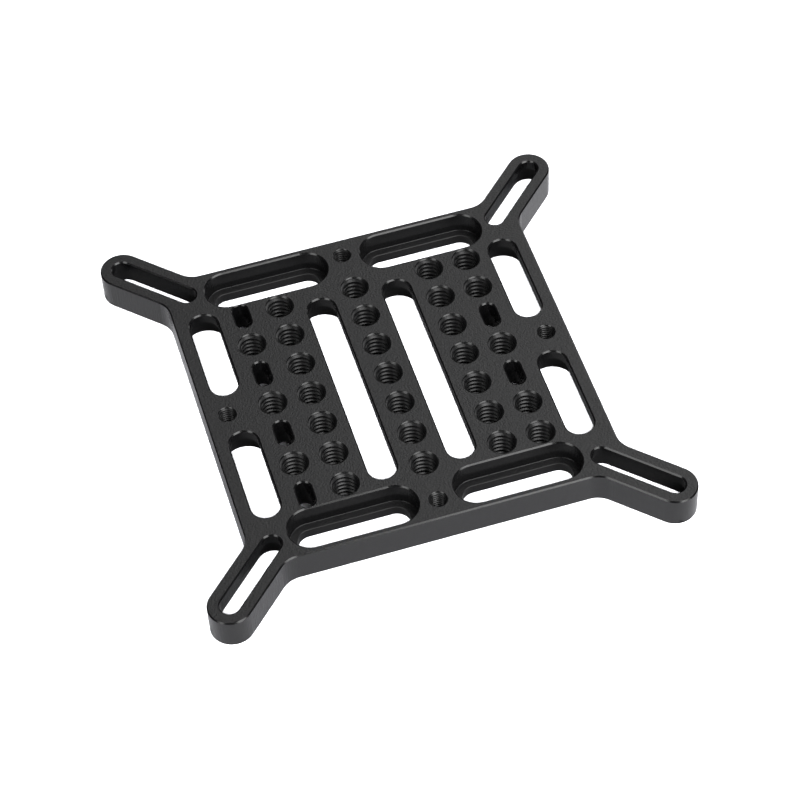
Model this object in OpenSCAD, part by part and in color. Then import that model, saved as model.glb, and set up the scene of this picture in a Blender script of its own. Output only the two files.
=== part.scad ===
// Monitor mounting plate: a square plate full of tapped holes and slots, with a slotted arm at each corner.
// It lies flat: X to the right, Y away from the viewer, Z up, origin under its centre on the underside.

/* [Plate] */
// Thickness of the plate
plate_t = 8; // [7:0.5:12]
// Bevel along every outer edge and slot rim
edge_bevel = 0.3; // [0.1:0.05:0.5]
// Metal left between the edge slots and the outer edge
edge_wall = 1.4; // [1:0.1:4]
// Radius of the inner corners where an arm meets the plate
arm_fillet_r = 5.5; // [2:0.5:8]

/* [Arms] */
// Side of the larger square of screen holes, between the outer ends of the arm slots
screen_square_large = 100; // [98:1:120]
// Side of the smaller square of screen holes, between the inner ends of the arm slots
screen_square_small = 75; // [75:1:80]
// Width of an arm, which also rounds its end
arm_w = 10; // [9:0.5:12]
// Width of the slot in an arm, a clearance for the screen screws
arm_slot_w = 4.5; // [4:0.1:5]
// Width of the recess under an arm slot, for the heads of the screen screws
arm_head_w = 7.5; // [6:0.1:8]

/* [Hole grid] */
// Distance between neighbouring rows, and between neighbouring columns
pitch = 9; // [8.8:0.1:10]
// Outer diameter of the main thread
main_thread_d = 6.35; // [5:0.05:6.5]
// Outer diameter of the thread of the holes in the middle of each edge
edge_thread_d = 4; // [3:0.1:5]
// Distance between the edge holes on opposite sides
edge_hole_span = 75; // [70:1:78]
// Bevel that leads into a tapped hole
thread_bevel = 0.15; // [0.05:0.05:0.3]

/* [Screw slots] */
// Width of the slots, a clearance for the main screws
slot_w = 6.6; // [6:0.1:7]
// Width of the recess that takes the heads of the main screws
head_w = 10.2; // [9:0.1:10.5]
// Thickness of the ledge that the screw heads pull against
ledge_t = 2.8; // [2:0.1:4]
// Bevel on the inner edge of a ledge
ledge_bevel = 0.15; // [0.05:0.05:0.3]
// Metal between the far ends of the centre slots and the far edge slots
centre_far_web = 2.8; // [0.8:0.1:6]
// Metal between the near ends of the centre slots and the near edge slots
centre_near_web = 0.8; // [0.8:0.1:6]
// Distance from the middle of the plate to where an edge slot starts its travel
edge_slot_start = 9.25; // [8.5:0.25:12]
// Travel of a screw along an edge slot
edge_slot_travel = 19; // [10:0.5:19]

/* [Pin slots] */
// Width of a short slot for a locating pin
pin_slot_w = 3.6; // [3:0.1:4]
// Length of a short slot for a locating pin, from end to end
pin_slot_l = 7; // [5:0.1:7]

/* [Hidden] */
$fn = 64;
// How far a cut runs past a face
past = 1;
// Rows and columns of the grid that carry slots
slot_line = 4 * pitch;
body_half = slot_line + head_w / 2 + edge_wall;
arm_reach = screen_square_large / 2 * sqrt(2);
arm_inner = screen_square_small / 2 * sqrt(2);
// Where a fillet touches the side of the square, above its middle, and the side of the arm, along the arm
fillet_reach = arm_fillet_r * tan(22.5);
fillet_side_y = body_half - arm_w / sqrt(2) - fillet_reach;
fillet_arm_x = body_half * sqrt(2) - arm_w / 2 + fillet_reach;
// The round cutter goes a hair past the sides that it touches, so that they meet cleanly
fillet_cut_r = arm_fillet_r + 0.001;
// Ends of the travel along a centre slot
centre_far_y = slot_line - head_w - centre_far_web;
centre_near_y = -(slot_line - head_w - centre_near_web);
// Tapped holes, as columns and rows of the grid
MAIN_HOLES = concat(
    [for (col = [-2, 0, 2], row = [-3 : 3]) [col, row]],
    [for (row = [-2, 0, 2]) [-3, row]],
    [for (row = [-3, -2, 0, 2, 3]) [3, row]]
);
// Short slots beside the outer columns, as columns and rows of the grid
PIN_SLOTS = concat([for (row = [-3, -1, 1, 3]) [-3, row]], [for (row = [-1, 1]) [3, row]]);

// Half section of a cut between two heights, out to x = r. Each rim opens at 45 degrees by its own bevel,
// and a cut that leaves the metal runs on past the face.
function cut_profile(r, z_lo, z_hi, bevel_lo, bevel_hi, past_lo, past_hi) =
    [
        [0, z_lo - past_lo],
        [r + (bevel_lo > 0 ? bevel_lo + past_lo : 0), z_lo - past_lo],
        [r, z_lo + bevel_lo],
        [r, z_hi - bevel_hi],
        [r + (bevel_hi > 0 ? bevel_hi + past_hi : 0), z_hi + past_hi],
        [0, z_hi + past_hi]
    ];

// The whole section that a half section makes when it is mirrored about the Z axis.
function mirrored(points) = concat(points, [for (i = [len(points) - 1 : -1 : 0]) [-points[i][0], points[i][1]]]);

// Sweeps a half section along X from one place to another, and turns it round both ends.
module swept_slot(from, to, profile) {
    for (end = [from, to]) translate([end, 0, 0]) rotate_extrude() polygon(profile);
    translate([from, 0, 0])
        rotate([90, 0, 90])
            linear_extrude(height = to - from)
                polygon(mirrored(profile));
}

// Fills the inner corner between the right side of the square and the arm above it, with a round face that
// touches both.
module fillet_plan() {
    on_side = [body_half, fillet_side_y];
    on_arm = on_side + fillet_reach * [1 / sqrt(2), 1 + 1 / sqrt(2)];
    into_side = [-arm_w / 4, 0];
    into_arm = [-arm_w / 4, arm_w / 4];
    difference() {
        polygon([on_side, on_arm, on_arm + into_arm, on_side + into_arm, on_side + into_side]);
        translate([body_half + arm_fillet_r, fillet_side_y]) circle(r = fillet_cut_r);
    }
}

// Plan of the plate: a square, a round-ended arm at each corner, and a fillet on both sides of each arm.
module plan() {
    square(2 * body_half, center = true);
    for (turn = [0 : 90 : 270]) rotate(turn) {
        rotate(45) {
            translate([0, -arm_w / 2]) square([arm_reach, arm_w]);
            translate([arm_reach, 0]) circle(d = arm_w);
        }
        fillet_plan();
        mirror([1, -1]) fillet_plan();
    }
}

// Section of what bevels the upper rim of a wall at x = wall. The air is beyond the wall where side is 1, and
// on its near side where side is -1.
function bevel_section(wall, side) =
    [
        [wall - side * (edge_bevel + past), plate_t + past],
        [wall + side * past, plate_t + past],
        [wall + side * past, plate_t - edge_bevel - past]
    ];

// Bevels a straight rim that runs along X between two places, at y = wall.
module straight_bevel(from, to, wall) {
    translate([from, 0, 0])
        rotate([90, 0, 90])
            linear_extrude(height = to - from)
                polygon(bevel_section(wall, 1));
}

// Bevels the upper rim all round the plan: the sides of the square and of the arms, the arms' round ends and
// the fillets.
module rim_bevels() {
    for (turn = [0 : 90 : 270]) rotate(turn) {
        straight_bevel(-fillet_side_y, fillet_side_y, body_half);
        rotate(45) {
            for (flip = [0, 1]) mirror([0, flip, 0]) straight_bevel(fillet_arm_x, arm_reach, arm_w / 2);
            translate([arm_reach, 0, 0])
                rotate_extrude(angle = 180, start = -90)
                    polygon(bevel_section(arm_w / 2, 1));
        }
        for (flip = [0, 1]) mirror([flip, -flip, 0])
            translate([body_half + arm_fillet_r, fillet_side_y, 0])
                rotate_extrude()
                    polygon(bevel_section(fillet_cut_r, -1));
    }
}

// The outer form, with nothing drilled or milled yet.
module blank() {
    difference() {
        linear_extrude(height = plate_t) plan();
        rim_bevels();
        translate([0, 0, plate_t]) mirror([0, 0, 1]) rim_bevels();
    }
}

// A tapped hole, bored to the outer diameter of its thread.
module tapped_hole(thread_d) {
    rotate_extrude()
        polygon(cut_profile(thread_d / 2, 0, plate_t, thread_bevel, thread_bevel, past, past));
}

// A slot with a wide recess for the screw heads, which is open below. The ledge is at the top face.
module head_slot(from, to, w, recess_w) {
    swept_slot(from, to,
        cut_profile(w / 2, plate_t - ledge_t, plate_t, ledge_bevel, edge_bevel, ledge_bevel, past));
    swept_slot(from, to,
        cut_profile(recess_w / 2, 0, plate_t - ledge_t, edge_bevel, 0, past, 0));
}

// The same slot turned over, so that the heads go in from the top face.
module head_slot_from_top(from, to, w, recess_w) {
    translate([0, 0, plate_t]) mirror([0, 0, 1]) head_slot(from, to, w, recess_w);
}

module hole_cuts() {
    for (place = MAIN_HOLES) translate(pitch * place) tapped_hole(main_thread_d);
    for (turn = [0 : 90 : 270]) rotate(turn) translate([edge_hole_span / 2, 0, 0]) tapped_hole(edge_thread_d);
}

module slot_cuts() {
    for (side = [-1, 1]) {
        translate([side * pitch, 0, 0]) rotate(90) head_slot(centre_near_y, centre_far_y, slot_w, head_w);
        for (end = [-1, 1]) {
            translate([side * slot_line, end * 2 * pitch, 0]) rotate(90) head_slot(-pitch, pitch, slot_w, head_w);
            translate([0, end * slot_line, 0])
                rotate(side > 0 ? 0 : 180)
                    head_slot_from_top(edge_slot_start, edge_slot_start + edge_slot_travel, slot_w, head_w);
        }
    }
    for (turn = [45 : 90 : 315]) rotate(turn) head_slot(arm_inner, arm_reach, arm_slot_w, arm_head_w);
}

module pin_slot_cuts() {
    travel = pin_slot_l - pin_slot_w;
    for (place = PIN_SLOTS)
        translate(pitch * place)
            rotate(90)
                swept_slot(-travel / 2, travel / 2,
                    cut_profile(pin_slot_w / 2, 0, plate_t, edge_bevel, edge_bevel, past, past));
}

// The plate, milled and drilled from one piece of metal with a black anodised finish.
module mounting_plate() {
    color([0.16, 0.16, 0.17])
        difference() {
            blank();
            hole_cuts();
            slot_cuts();
            pin_slot_cuts();
        }
}

mounting_plate();
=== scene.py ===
# %% [markdown]
# # A black monitor mounting plate
#
# The real object is a square of aluminium, 8 mm thick, milled and drilled on both faces, blasted with fine
# beads and anodised black. It is all one piece, so this lesson is about three things: how a black surface
# is shown by the lights that it mirrors, how one finish can differ on faces, walls and bevels, and how a
# real screw thread is spun.
#
# Every length in this file is written in millimetres and turned into Blender's metres by one factor.

# %% Load the measured model
import math

import bmesh
import bpy
from mathutils import Matrix, Quaternion, Vector


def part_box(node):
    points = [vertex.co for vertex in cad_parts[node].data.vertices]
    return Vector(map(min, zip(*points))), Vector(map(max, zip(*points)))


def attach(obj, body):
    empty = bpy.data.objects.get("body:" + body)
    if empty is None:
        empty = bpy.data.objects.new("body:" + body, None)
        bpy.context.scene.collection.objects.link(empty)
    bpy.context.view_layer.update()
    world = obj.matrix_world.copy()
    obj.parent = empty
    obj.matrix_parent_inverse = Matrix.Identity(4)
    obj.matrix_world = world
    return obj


MM = 0.001
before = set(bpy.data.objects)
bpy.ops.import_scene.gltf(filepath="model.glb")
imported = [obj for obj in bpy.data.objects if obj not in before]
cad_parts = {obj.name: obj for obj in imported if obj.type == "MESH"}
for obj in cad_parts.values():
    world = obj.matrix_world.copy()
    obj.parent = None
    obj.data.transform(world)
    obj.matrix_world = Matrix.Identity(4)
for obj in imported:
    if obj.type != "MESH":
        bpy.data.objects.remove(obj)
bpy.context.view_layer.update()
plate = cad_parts["mounting_plate"]
plate_low, plate_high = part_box("mounting_plate")
plate_t = (plate_high.z - plate_low.z) / MM
print("plate:", len(plate.data.polygons), "triangles,", round(plate_t, 2), "mm thick")

# %% [markdown]
# ## The camera
#
# The picture was taken from the front, a little to the left, looking down by about 51 degrees, through a
# long lens that keeps the edges nearly parallel. A camera can be placed by its coordinates, but two angles
# and a distance from the point that it looks at are easier to adjust. Then it is rolled about its own axis,
# because the plate lies at a slant in the picture.

# %% Place the camera
PICTURE_PIXELS = 800
FOCAL_PIXELS = 2721
AIM = Vector((0.21, -8.39, 8.0)) * MM
CAMERA_SIDE = -14.13
CAMERA_ABOVE = 50.92
CAMERA_DISTANCE = 607.1 * MM
CAMERA_ROLL = 3.59
NEAREST_SEEN = 10 * MM
FARTHEST_SEEN = 10000 * MM


def direction(side, above):
    """The way from the plate to a place that is side degrees right of the front and above degrees up."""
    a, e = math.radians(side), math.radians(above)
    return Vector((math.sin(a) * math.cos(e), -math.cos(a) * math.cos(e), math.sin(e)))


def look_back(way):
    """The turn that makes a camera or a lamp out along way look back at the plate."""
    return (-way).to_track_quat("-Z", "Y")


lens = bpy.data.cameras.new("long_lens")
lens.lens = FOCAL_PIXELS / PICTURE_PIXELS * lens.sensor_width
lens.clip_start = NEAREST_SEEN
lens.clip_end = FARTHEST_SEEN
camera = bpy.data.objects.new("camera", lens)
bpy.context.scene.collection.objects.link(camera)
to_camera = direction(CAMERA_SIDE, CAMERA_ABOVE)
camera.location = AIM + to_camera * CAMERA_DISTANCE
roll = Quaternion((0, 0, 1), math.radians(-CAMERA_ROLL))
camera.rotation_mode = "QUATERNION"
camera.rotation_quaternion = look_back(to_camera) @ roll
bpy.context.scene.camera = camera
print("lens:", round(lens.lens, 1), "mm")

# %% [markdown]
# ## Nodes with less typing
#
# A material is a small graph. It could be written out node by node, but the same three lines would come
# back for each of them. These helpers add one node at a time, set its sockets by name, and link whatever is
# handed in as another node's output.

# %% Helpers for material graphs
NOISE_DETAIL = 3.0


def put(socket, value):
    """Sets a socket to a plain value, or links another node's output to it."""
    if isinstance(value, bpy.types.NodeSocket):
        socket.id_data.links.new(value, socket)
    else:
        socket.default_value = value


def add(tree, kind, inputs=(), **settings):
    """Adds a node, with its settings by name and its inputs as a dict or a list."""
    node = tree.nodes.new("ShaderNode" + kind)
    for name, value in settings.items():
        setattr(node, name, value)
    pairs = inputs.items() if isinstance(inputs, dict) else enumerate(inputs)
    for key, value in pairs:
        put(node.inputs[key], value)
    return node


def graph(name):
    """A new material, its tree and its shader."""
    material = bpy.data.materials.new(name)
    material.use_nodes = True
    tree = material.node_tree
    return material, tree, tree.nodes["Principled BSDF"]


def math_of(tree, operation, *inputs):
    """The result of a sum, a product or the like."""
    return add(tree, "Math", inputs, operation=operation).outputs[0]


def ramp(tree, value, low, high, to_low=0.0, to_high=1.0):
    """Value runs from low to high, and the result from to_low to to_high, clamped at both ends."""
    inputs = {"Value": value, "From Min": low, "From Max": high, "To Min": to_low, "To Max": to_high}
    return add(tree, "MapRange", inputs).outputs["Result"]


def noise(tree, place, scale):
    """Soft random values from 0 to 1, with scale spots to a millimetre."""
    return add(tree, "TexNoise", {"Vector": place, "Scale": scale, "Detail": NOISE_DETAIL}).outputs["Fac"]


def place_in_mm(tree):
    """The point on the piece in millimetres, so that a pattern's scale is a real size."""
    here = add(tree, "TexCoord").outputs["Object"]
    return add(tree, "VectorMath", [here, (1 / MM, 1 / MM, 1 / MM)], operation="MULTIPLY").outputs[0]


# %% [markdown]
# ## The ground
#
# The plate lies on a plain pale ground. In the picture the ground is blown out to white, even at the bottom
# of the slots, but what the black walls mirror is a ground of ordinary brightness outside the plate, and
# nearly darkness under it. One floor can't be both, but Blender can keep apart what each kind of ray meets.
# One sheet is seen by the camera alone. Another, some way below, is seen only in reflections and by
# scattered light. Grey sheets close under the square and the two side arms stand for the shade there, and a
# pale one under the other two arms for the light that does get below them. They lie a hair apart, so that
# none cuts through another.

# %% Lay the sheets of ground
GROUND_SIZE = 20000
SQUARE_SHADE = 84
ARM_SHADE_LENGTH = 150
ARM_SHADE_WIDTH = 9
SEEN_HEIGHT = -0.05
SHADE_HEIGHT = -0.1
SHEET_GAP = 0.01
MIRRORED_HEIGHT = -30
PALE = (0.84, 0.84, 0.87, 1)
SHADE = (0.45, 0.45, 0.46, 1)
PAPER_ROUGHNESS = 0.9
PAPER_SHINE = 0.1


def paper(name, colour):
    """Plain dull paper."""
    material, tree, shader = graph(name)
    put(shader.inputs["Base Color"], colour)
    put(shader.inputs["Roughness"], PAPER_ROUGHNESS)
    put(shader.inputs["Specular IOR Level"], PAPER_SHINE)
    return material


def sheet(name, material, width, depth, height, middle=0, turn=0, camera_sees=False):
    """A flat piece of paper, no part of the object. Either the camera sees it or all other rays do."""
    turned = Matrix.Rotation(math.radians(turn), 3, "Z")
    shape = bmesh.new()
    bmesh.ops.create_grid(shape, x_segments=1, y_segments=1, size=0.5)
    bmesh.ops.scale(shape, verts=shape.verts[:], vec=(width * MM, depth * MM, 1))
    bmesh.ops.translate(shape, verts=shape.verts[:], vec=(middle * MM, 0, height * MM))
    bmesh.ops.rotate(shape, verts=shape.verts[:], cent=(0, 0, 0), matrix=turned)
    mesh = bpy.data.meshes.new(name)
    shape.to_mesh(mesh)
    shape.free()
    mesh.materials.append(material)
    piece = bpy.data.objects.new(name, mesh)
    bpy.context.scene.collection.objects.link(piece)
    piece.visible_camera = camera_sees
    piece.visible_diffuse = not camera_sees
    piece.visible_glossy = not camera_sees
    piece.visible_shadow = not camera_sees
    print(name, "lies", -height, "mm below the plate")
    return piece


def arm_sheet(name, material, gaps, turn):
    """A strip under two opposite arms, some gaps below the square's sheet."""
    sheet(name, material, ARM_SHADE_LENGTH, ARM_SHADE_WIDTH, SHADE_HEIGHT - gaps * SHEET_GAP, turn=turn)


pale_paper = paper("pale_paper", PALE)
shade_paper = paper("shade_paper", SHADE)
seen_ground = sheet("seen_ground", pale_paper, GROUND_SIZE, GROUND_SIZE, SEEN_HEIGHT, camera_sees=True)
sheet("mirrored_ground", pale_paper, GROUND_SIZE, GROUND_SIZE, MIRRORED_HEIGHT)
sheet("shade_under_square", shade_paper, SQUARE_SHADE, SQUARE_SHADE, SHADE_HEIGHT)
arm_sheet("shade_under_side_arms", shade_paper, gaps=1, turn=135)
arm_sheet("shade_under_end_arms", pale_paper, gaps=2, turn=45)

# %% [markdown]
# ## The lights
#
# A black surface hardly shows its own colour. What it shows is the lamps, mirrored, so each lamp is placed
# where a bevel or a face would mirror it into the camera. In the picture the bevels flash where they mirror
# the front, to the right of the camera and again to its left, and they go dark in the gap between. So there
# are two large soft boxes in front with the camera between them. A third one, high up behind on the right,
# gives the top face its grey, a little lighter to the right, and a low card behind on the right lightens
# the walls that face it. Nothing stands behind on the left, so the bevels that lean that way stay black.

# %% Hang the soft boxes
LAMP_DISTANCE = 1000 * MM


def soft_box(name, side, above, width, height, radiance):
    """A rectangle of light out along a direction, facing the plate. A lamp's power follows its area."""
    lamp = bpy.data.lights.new(name, "AREA")
    lamp.shape = "RECTANGLE"
    lamp.size = width * MM
    lamp.size_y = height * MM
    lamp.energy = radiance * math.pi * lamp.size * lamp.size_y
    box = bpy.data.objects.new(name, lamp)
    way = direction(side, above)
    box.location = way * LAMP_DISTANCE
    box.rotation_mode = "QUATERNION"
    box.rotation_quaternion = look_back(way)
    box.visible_camera = False
    bpy.context.scene.collection.objects.link(box)
    print(name, "shines from", side, "degrees round and", above, "degrees up")
    return box


soft_box("right_soft_box", side=31, above=47, width=660, height=700, radiance=5.5)
soft_box("left_soft_box", side=-58, above=42, width=420, height=560, radiance=3.6)
soft_box("back_soft_box", side=135, above=53, width=900, height=900, radiance=2.4)
soft_box("low_card", side=132, above=12, width=700, height=360, radiance=1.4)

# %% [markdown]
# ## A white ground, down in the slots too
#
# The ground in the picture is lit so strongly that it is pure white. More light from the soft boxes would
# spoil the metal, so one more lamp stands at the camera and shines on the seen ground alone, by light
# linking. It reaches the bottom of every slot that the camera sees into. The strips of ground below the
# tapped holes and the pin slots are laid again, a little higher and outside that lamp's list, because
# hardly any light gets down there. Above the horizon the room is as white as the ground, and it sheds no
# light.

# %% Light the seen ground alone
GROUND_LAMP_SIZE = 100
GROUND_LAMP_RADIANCE = 900
WHITE = (1, 1, 1, 1)
UNDER_HOLES_HEIGHT = -0.02
UNDER_HOLES_DEPTH = 62
MIDDLE_STRIP = 8
SIDE_STRIP = 17
SIDE_STRIP_X = 22.5

ground_only = bpy.data.collections.new("ground_only")
ground_only.objects.link(seen_ground)
ground_lamp = soft_box(
    "ground_lamp", CAMERA_SIDE, CAMERA_ABOVE, GROUND_LAMP_SIZE, GROUND_LAMP_SIZE, GROUND_LAMP_RADIANCE
)
ground_lamp.light_linking.receiver_collection = ground_only

for strip_x, strip_width in ((-SIDE_STRIP_X, SIDE_STRIP), (0, MIDDLE_STRIP), (SIDE_STRIP_X, SIDE_STRIP)):
    sheet(
        "ground_under_holes",
        pale_paper,
        strip_width,
        UNDER_HOLES_DEPTH,
        UNDER_HOLES_HEIGHT,
        middle=strip_x,
        camera_sees=True,
    )

room = bpy.data.worlds.new("white_room")
bpy.context.scene.world = room
room.use_nodes = True
put(room.node_tree.nodes["Background"].inputs["Color"], WHITE)
room.cycles_visibility.diffuse = False
room.cycles_visibility.glossy = False
bpy.context.scene.view_settings.view_transform = "Standard"

# %% [markdown]
# ## The finish
#
# Black anodising is a glassy layer that has taken up dye. It hides the metal's own shine, so it isn't
# metallic in Blender's sense: it is nearly black, with a soft gloss on top. How soft depends on what the
# tool left behind. The blasted faces are the dullest, the milled walls keep upright traces of the cutter,
# and the bevels, cut last with a sharp tool, are the smoothest. The ones deep down in a slot look dull in
# the picture.
#
# Each kind could have a material of its own, but the measured mesh comes with one and stays as it is. The
# direction that a surface faces tells them apart just as well, so one graph serves the whole plate.

# %% Tell faces, walls and bevels apart
UPRIGHT_OF_FACE = (0.90, 0.97)
UPRIGHT_OF_WALL = (0.35, 0.15)
DEEP_STARTS = 1.0
DEEP_ENDS = 1.5


def surface_kinds(tree, place):
    """How far the surface is a face, a wall or a deep bevel, each from 0 to 1. The rest is bevel."""
    facing = add(tree, "SeparateXYZ", [add(tree, "TexCoord").outputs["Normal"]])
    upright = math_of(tree, "ABSOLUTE", facing.outputs["Z"])
    is_face = ramp(tree, upright, *UPRIGHT_OF_FACE)
    is_wall = ramp(tree, upright, *UPRIGHT_OF_WALL)
    is_slant = math_of(tree, "SUBTRACT", math_of(tree, "SUBTRACT", 1.0, is_face), is_wall)
    height = add(tree, "SeparateXYZ", [place]).outputs["Z"]
    is_deep = ramp(tree, height, plate_t - DEEP_STARTS, plate_t - DEEP_ENDS)
    return is_face, is_wall, math_of(tree, "MULTIPLY", is_deep, is_slant)


# %% [markdown]
# ## Grain, clouds and traces
#
# The blasted surface is a fine grain of 0.4 mm and less. It changes the tone, the gloss and the relief a
# little, and a wide faint cloud keeps large faces from looking printed. The cutter's traces are the same
# kind of noise, drawn out upwards on the walls. All of it is worked out from the point's own place on the
# metal, so it holds at any distance and needs no picture.

# %% Mix the black finish
BLACK = (0.008, 0.008, 0.0085, 1)
FILM_IOR = 1.5
NOISE_SPREAD = (0.3, 0.7)
NOISE_MEAN = 0.5
CLOUD_SCALE = 0.08
CLOUD_TONES = (0.92, 1.08)
GRAIN_SCALE = 2.6
GRAIN_TONES = (0.6, 1.4)
GRAIN_ON_ROUGHNESS = 0.2
TRACE_SCALE = 4.0
TRACE_STRETCH = (1.0, 1.0, 0.06)
TRACE_RELIEF = 0.3


def anodised(name, on_faces, on_walls, on_bevels, on_deep_bevels, relief_height):
    """Black anodised metal, by its roughness on each kind of surface and its relief in millimetres."""
    material, tree, shader = graph(name)
    place = place_in_mm(tree)
    is_face, is_wall, is_deep_bevel = surface_kinds(tree, place)
    grain = noise(tree, place, GRAIN_SCALE)

    cloud_tone = ramp(tree, noise(tree, place, CLOUD_SCALE), *NOISE_SPREAD, *CLOUD_TONES)
    grain_tone = ramp(tree, grain, *NOISE_SPREAD, *GRAIN_TONES)
    colour = add(tree, "Mix", data_type="RGBA", blend_type="MULTIPLY")
    put(colour.inputs["Factor"], 1.0)
    put(colour.inputs["A"], BLACK)
    put(colour.inputs["B"], math_of(tree, "MULTIPLY", cloud_tone, grain_tone))
    put(shader.inputs["Base Color"], colour.outputs["Result"])

    rough = math_of(tree, "MULTIPLY_ADD", is_face, on_faces - on_bevels, on_bevels)
    rough = math_of(tree, "MULTIPLY_ADD", is_wall, on_walls - on_bevels, rough)
    rough = math_of(tree, "MULTIPLY_ADD", is_deep_bevel, on_deep_bevels - on_bevels, rough)
    uneven = math_of(tree, "SUBTRACT", grain, NOISE_MEAN)
    rough = math_of(tree, "MULTIPLY_ADD", uneven, GRAIN_ON_ROUGHNESS, rough)
    put(shader.inputs["Roughness"], rough)
    put(shader.inputs["IOR"], FILM_IOR)

    drawn_out = add(tree, "VectorMath", [place, TRACE_STRETCH], operation="MULTIPLY").outputs[0]
    on_wall = math_of(tree, "MULTIPLY", is_wall, TRACE_RELIEF)
    traces = math_of(tree, "MULTIPLY", noise(tree, drawn_out, TRACE_SCALE), on_wall)
    blasting = math_of(tree, "MULTIPLY", grain, is_face)
    relief = math_of(tree, "ADD", traces, blasting)
    bump = add(tree, "Bump", {"Height": relief, "Strength": 1.0, "Distance": relief_height * MM})
    put(shader.inputs["Normal"], bump.outputs["Normal"])
    return material


plate_finish = anodised(
    "black_anodised", on_faces=0.48, on_walls=0.18, on_bevels=0.2, on_deep_bevels=0.5, relief_height=0.2
)
for material_slot in plate.material_slots:
    material_slot.material = plate_finish
print("slots repainted:", len(plate.material_slots))

# %% [markdown]
# ## The section of a screw thread
#
# A tapped hole is a bore with a ridge wound up its wall. Bump could fake the stripes, but not the steps
# that the ridge leaves in the countersink, so it is a real shape. The ridge of a standard thread has flanks
# at 60 degrees to each other and a flat crest. At the wall its foot takes up seven eighths of the pitch.
# The section is drawn once, and its foot reaches a little into the metal, so that no gap shows. The flanks
# have points along them, so that a countersink still cuts them at a straight slant.

# %% Draw the section
FLANK_RISE = math.tan(math.radians(30))
FLANK_PARTS = 6
HALF_FOOT = 7 / 16
THREAD_DEPTH = 0.46
IN_THE_METAL = 0.09


def ridge_section(bore_r, pitch):
    """Points from the ridge's lower foot to its upper one, as radius and height above its middle."""
    crest_r = bore_r - THREAD_DEPTH * pitch
    foot_r = bore_r + IN_THE_METAL
    half_crest = (HALF_FOOT - THREAD_DEPTH * FLANK_RISE) * pitch
    reaches = [foot_r + (crest_r - foot_r) * i / FLANK_PARTS for i in range(FLANK_PARTS + 1)]
    upper = [(r, half_crest + (r - crest_r) * FLANK_RISE) for r in reaches]
    lower = [(r, -z) for r, z in upper]
    print("ridge:", round(THREAD_DEPTH * pitch, 2), "mm high, crest", round(2 * half_crest, 2), "mm wide")
    return lower + upper[::-1]


# %% [markdown]
# ## Spinning the thread
#
# The section is spun round the hole's axis while it climbs, by one pitch in each turn. A turn to spare at
# both ends is cut off level, just inside the faces of the plate. Then the countersink at each mouth pushes
# back whatever stands inside its cone. A boolean could cut both, but it is slow on such long thin shapes
# and can leave slivers. How far round the thread begins is set by the stripes in the picture.

# %% Spin one thread
STEPS_A_TURN = 36
SPARE_TURNS = 1
THREAD_TURN = 0.15
CUT_INSIDE_MOUTH = 0.7
ON_THE_CUT = 1e-6
QUAD_CORNERS = 4


def thread_ridge(bore_r, pitch, mouth_r):
    """The ridge of one tapped hole on the Z axis, as a closed bmesh in millimetres."""
    turns = math.ceil(plate_t / pitch) + 2 * SPARE_TURNS
    start = plate_t - (turns - SPARE_TURNS - THREAD_TURN) * pitch
    shape = bmesh.new()
    corners = [shape.verts.new((0, r, start + z)) for r, z in ridge_section(bore_r, pitch)]
    rim = [shape.edges.new((corners[i], corners[i - 1])) for i in range(len(corners))]
    bmesh.ops.spin(
        shape,
        geom=corners + rim,
        cent=(0, 0, 0),
        axis=(0, 0, 1),
        dvec=(0, 0, pitch / STEPS_A_TURN),
        angle=math.tau * turns,
        steps=turns * STEPS_A_TURN,
        use_duplicate=False,
    )
    cut_depth = (mouth_r - bore_r) * CUT_INSIDE_MOUTH
    for level, outwards in ((cut_depth, -1), (plate_t - cut_depth, 1)):
        bmesh.ops.bisect_plane(
            shape,
            geom=shape.verts[:] + shape.edges[:] + shape.faces[:],
            dist=ON_THE_CUT,
            plane_co=(0, 0, level),
            plane_no=(0, 0, outwards),
            clear_outer=True,
        )
    bmesh.ops.holes_fill(shape, edges=[e for e in shape.edges if e.is_boundary], sides=0)
    countersink(shape, mouth_r)
    bmesh.ops.triangulate(shape, faces=[f for f in shape.faces if len(f.verts) > QUAD_CORNERS])
    bmesh.ops.recalc_face_normals(shape, faces=shape.faces)
    return shape


def countersink(shape, mouth_r):
    """Pushes every corner of the ridge out of the 45 degree cones at the two mouths."""
    for corner in shape.verts:
        depth = min(corner.co.z, plate_t - corner.co.z)
        reach = corner.co.xy.length
        cone_r = mouth_r - depth
        if reach < cone_r:
            corner.co.xy *= cone_r / reach


# %% [markdown]
# ## One mesh for each size of thread
#
# All holes of one size are tapped alike, so the ridge is made once and copied to every hole. An array
# modifier would do for a full grid, but this one has gaps: five columns of main holes, with slots for pins
# where the outer columns leave holes out. So the places are written as columns and rows of the plate's own
# grid.

# %% Wind the threads into their holes
PITCH_OF_GRID = 9
EDGE_HOLE_R = 37.5
MAIN_THREAD = {"bore_r": 3.175, "pitch": 1.27, "mouth_r": 3.325}
EDGE_THREAD = {"bore_r": 2.0, "pitch": 0.7, "mouth_r": 2.15}
MAIN_PLACES = (
    [(column, row) for column in (-2, 0, 2) for row in range(-3, 4)]
    + [(-3, row) for row in (-2, 0, 2)]
    + [(3, row) for row in (-3, -2, 0, 2, 3)]
)
THREAD_ROUGHNESS = 0.3
SHARP_ANGLE = 25


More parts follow.
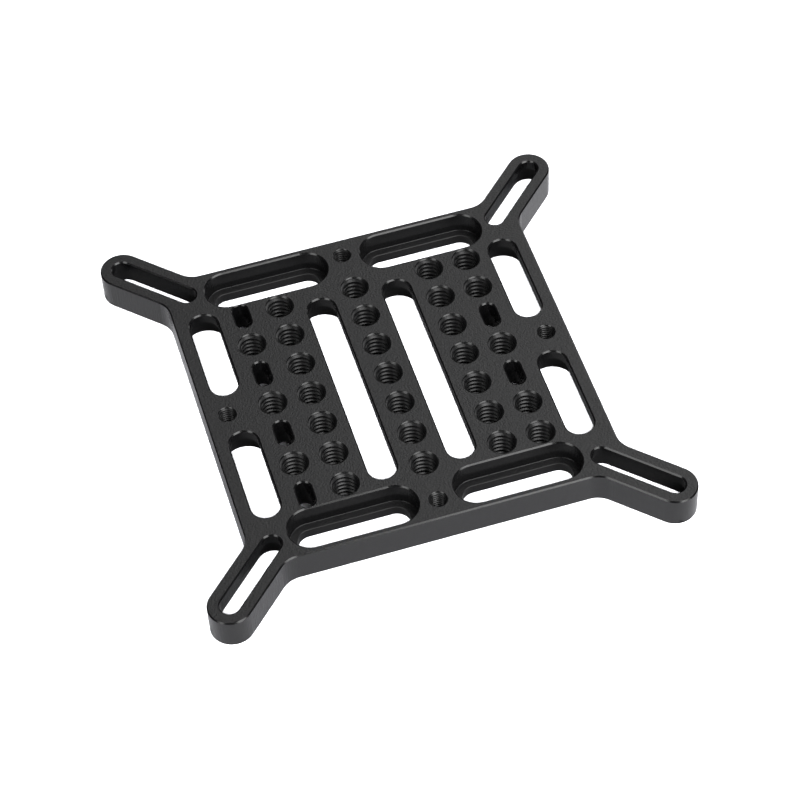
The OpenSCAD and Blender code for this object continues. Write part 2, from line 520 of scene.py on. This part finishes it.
def repeated(name, pattern, points, finish):
    """One object with a copy of the pattern, a bmesh in millimetres, at every point."""
    pattern_mesh = bpy.data.meshes.new(name + "_pattern")
    pattern.to_mesh(pattern_mesh)
    pattern.free()
    whole = bmesh.new()
    for x, y in points:
        before = len(whole.verts)
        whole.from_mesh(pattern_mesh)
        whole.verts.ensure_lookup_table()
        bmesh.ops.translate(whole, verts=whole.verts[before:], vec=(x, y, 0))
    bpy.data.meshes.remove(pattern_mesh)
    bmesh.ops.scale(whole, verts=whole.verts[:], vec=(MM, MM, MM))
    mesh = bpy.data.meshes.new(name)
    whole.to_mesh(mesh)
    whole.free()
    mesh.shade_smooth()
    mesh.set_sharp_from_angle(angle=math.radians(SHARP_ANGLE))
    mesh.materials.append(finish)
    piece = bpy.data.objects.new(name, mesh)
    bpy.context.scene.collection.objects.link(piece)
    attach(piece, "root")
    print(name, len(mesh.polygons), "faces in", len(points), "copies")


main_points = [(PITCH_OF_GRID * column, PITCH_OF_GRID * row) for column, row in MAIN_PLACES]
edge_points = [(EDGE_HOLE_R, 0), (0, EDGE_HOLE_R), (-EDGE_HOLE_R, 0), (0, -EDGE_HOLE_R)]
thread_finish = anodised(
    "black_anodised_thread", THREAD_ROUGHNESS, THREAD_ROUGHNESS, THREAD_ROUGHNESS, THREAD_ROUGHNESS, 0.0
)
repeated("main_threads", thread_ridge(**MAIN_THREAD), main_points, thread_finish)
repeated("edge_threads", thread_ridge(**EDGE_THREAD), edge_points, thread_finish)

# %% [markdown]
# ## The round in the corner of a recess
#
# The recesses of the four edge slots are open above. An end mill with slightly worn corners cut them, and
# it left a small round where the wall meets the ledge. It is a fifth of a millimetre, but it catches the
# light as a thin line. The plate's own mesh is measured and stays as it is, so a strip with a hollow face
# fills the corner. Its section is drawn once, spun half a turn round each end of the slot, and drawn out
# along both straight sides.

# %% Run a strip round each recess
RECESS_R = 5.1
LEDGE_HEIGHT = 2.8
CORNER_R = 0.2
CORNER_PARTS = 6
END_STEPS = 24
EDGE_SLOT_START = 9.25
EDGE_SLOT_TRAVEL = 19
EDGE_SLOT_Y = 4 * PITCH_OF_GRID
SAME_PLACE = 0.001


def strip_section():
    """Points round the strip's section, as distance from the slot's middle line and height."""
    leans = [math.radians(90 * i / CORNER_PARTS) for i in range(CORNER_PARTS + 1)]
    hollow = [
        (RECESS_R - CORNER_R * (1 - math.sin(lean)), LEDGE_HEIGHT + CORNER_R * (1 - math.cos(lean)))
        for lean in leans
    ]
    in_wall, in_ledge = RECESS_R + IN_THE_METAL, LEDGE_HEIGHT - IN_THE_METAL
    back = [(in_wall, LEDGE_HEIGHT + CORNER_R), (in_wall, in_ledge), (RECESS_R - CORNER_R, in_ledge)]
    return hollow + back


def corner_strip():
    """The strip for a slot along X with its middle on the Z axis, as a closed bmesh in millimetres."""
    shape = bmesh.new()
    corners = [shape.verts.new((-EDGE_SLOT_TRAVEL / 2, -r, z)) for r, z in strip_section()]
    rim = [shape.edges.new((corners[i], corners[i - 1])) for i in range(len(corners))]
    for side in (-1, 1):
        spun = bmesh.ops.spin(
            shape,
            geom=corners + rim,
            cent=(side * EDGE_SLOT_TRAVEL / 2, 0, 0),
            axis=(0, 0, 1),
            angle=-math.pi,
            steps=END_STEPS,
            use_duplicate=False,
        )
        rim = [e for e in spun["geom_last"] if isinstance(e, bmesh.types.BMEdge)]
        drawn = bmesh.ops.extrude_edge_only(shape, edges=rim)["geom"]
        corners = [v for v in drawn if isinstance(v, bmesh.types.BMVert)]
        rim = [e for e in drawn if isinstance(e, bmesh.types.BMEdge) and e.is_boundary]
        bmesh.ops.translate(shape, verts=corners, vec=(-side * EDGE_SLOT_TRAVEL, 0, 0))
    bmesh.ops.remove_doubles(shape, verts=shape.verts[:], dist=SAME_PLACE)
    bmesh.ops.recalc_face_normals(shape, faces=shape.faces)
    print("open edges in the strip:", sum(not e.is_manifold for e in shape.edges))
    return shape


recess_x = EDGE_SLOT_START + EDGE_SLOT_TRAVEL / 2
recess_points = [(x * recess_x, y * EDGE_SLOT_Y) for x in (-1, 1) for y in (-1, 1)]
repeated("recess_corners", corner_strip(), recess_points, thread_finish)
